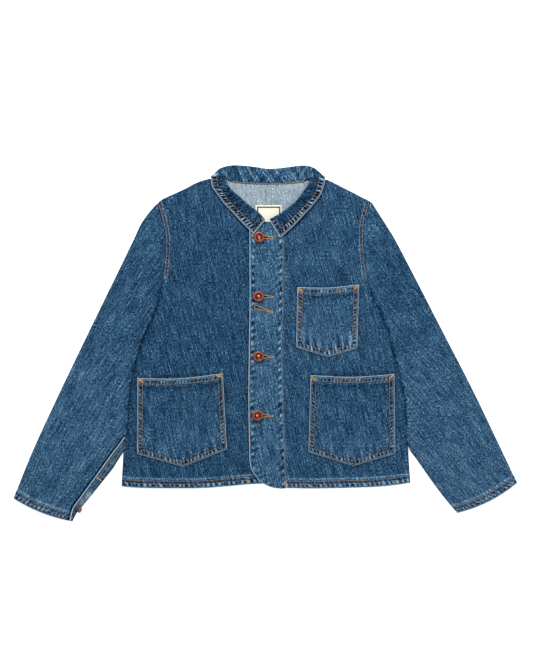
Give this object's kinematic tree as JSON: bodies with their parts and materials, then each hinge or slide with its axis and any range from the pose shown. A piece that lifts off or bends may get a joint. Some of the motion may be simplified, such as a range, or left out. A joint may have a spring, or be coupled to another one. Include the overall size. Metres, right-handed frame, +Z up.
{
  "type": "denim barn coat laid flat",
  "caption": "Short hip-length denim barn coat laid flat and buttoned, with a small turned-down collar and pointed patch pockets.",
  "frame": {"origin": "middle of the coat's outline, on the surface it lies on", "axes": "+X towards the wearer's left sleeve, +Y towards the collar, +Z up from the surface"},
  "size_m": [0.9273, 0.6565, 0.0128],
  "materials": {
    "denim": "washed mid indigo twill, paler on worn edges, blue-grey reverse",
    "thread": "tan sewing thread",
    "label": "woven cream tape with a dark green frame, no lettering",
    "copper": "aged copper"
  },
  "bodies": {
    "root": {"back_left": "denim", "back_right": "denim", "neck_label": "label", "front_right": "denim", "front_left": "denim", "front_left_band": "denim", "sleeve_left": "denim", "sleeve_right": "denim", "collar": "denim", "pocket_chest": "denim", "pocket_lower_left": "denim", "pocket_lower_right": "denim", "button_1": "copper", "button_2": "copper", "button_3": "copper", "button_4": "copper", "button_cuff": "copper"}
  },
  "joints": []
}
